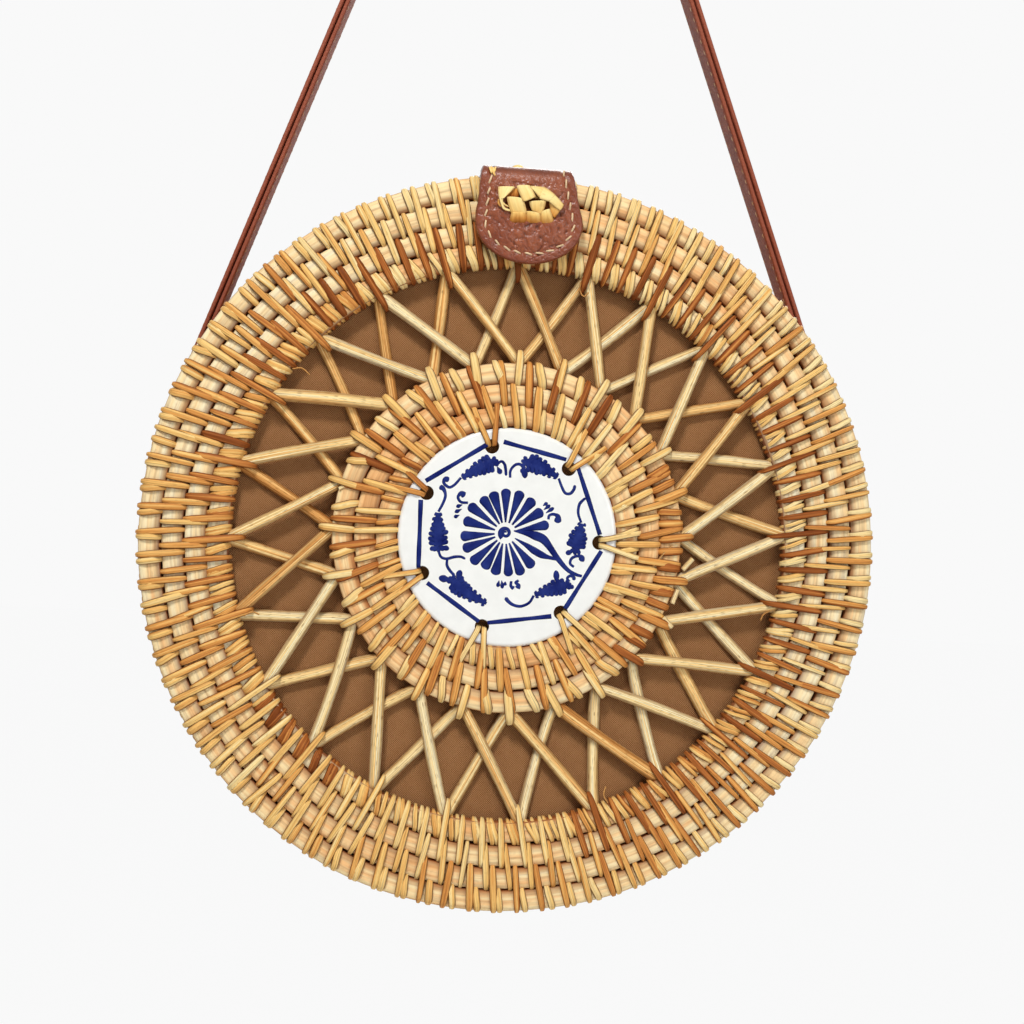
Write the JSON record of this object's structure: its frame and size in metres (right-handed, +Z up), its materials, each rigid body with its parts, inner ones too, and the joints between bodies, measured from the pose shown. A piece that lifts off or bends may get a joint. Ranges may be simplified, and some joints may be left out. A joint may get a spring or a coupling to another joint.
{
  "type": "round rattan shoulder bag",
  "caption": "Round coiled-rattan shoulder bag with a hinged lid, a reed lattice around a painted ceramic disc, a leather snap flap and a leather strap.",
  "frame": {"origin": "underside of the strap at the top of its bend, in the middle of its width, where it hangs on a peg or hook", "axes": "+Z up, -Y the front with the ceramic disc, +X to the right seen from the front"},
  "size_m": [0.209, 0.0837, 0.3734],
  "materials": {
    "rattan_rod": "natural peeled rattan core, satin",
    "rattan_reed": "split rattan, satin",
    "rattan_strand": "split rattan skin, glossy",
    "ceramic": "white glaze with a blue painted flower",
    "lining": "brown plain-weave cotton",
    "leather": "red-brown pebbled leather, satin",
    "snap_metal": "aged brass"
  },
  "bodies": {
    "strap": {"strap_inner_layer": "leather", "strap_outer_layer": "leather"},
    "back_half": {"back_disc_coil": "rattan_rod", "back_centre_button": "rattan_rod", "back_wall_coil": "rattan_rod", "back_lining_panel": "lining", "back_lining_band": "lining", "left_strap_end": "leather", "right_strap_end": "leather", "left_strap_lashing": "rattan_strand", "right_strap_lashing": "rattan_strand", "flap_base": "leather", "flap_base_lashings": "rattan_strand", "hinge_cane": "rattan_rod", "back_hinge_loops": "rattan_strand"},
    "lid": {"front_rim_coil": "rattan_rod", "front_wall_coil": "rattan_rod", "hub_coil": "rattan_rod", "lattice_over_reeds": "rattan_reed", "lattice_under_reeds": "rattan_reed", "ceramic_medallion": "ceramic", "medallion_ties": "rattan_strand", "front_lining_panel": "lining", "front_lining_band": "lining", "snap_stud": "snap_metal", "lid_hinge_loops": "rattan_strand"},
    "flap": {"flap_inner_leather": "leather", "flap_outer_leather": "leather", "snap_socket": "snap_metal", "flap_knot": "rattan_strand"}
  },
  "joints": [
    {"name": "strap_swing", "type": "hinge", "parent": "strap", "child": "back_half", "pos_m": [0, 0, -0.21055], "axis": [1, 0, 0], "range_deg": [-25, 25]},
    {"name": "lid_open", "type": "hinge", "parent": "back_half", "child": "lid", "pos_m": [0, -0.0068, -0.36806], "axis": [1, 0, 0], "range_deg": [0, 110]},
    {"name": "flap_lift", "type": "hinge", "parent": "back_half", "child": "flap", "pos_m": [0.00195, -0.0043, -0.16498], "axis": [-0.9998, 0, 0.0192], "range_deg": [0, 140], "deforming": ["flap_inner_leather", "flap_outer_leather", "snap_socket", "flap_knot"]}
  ]
}
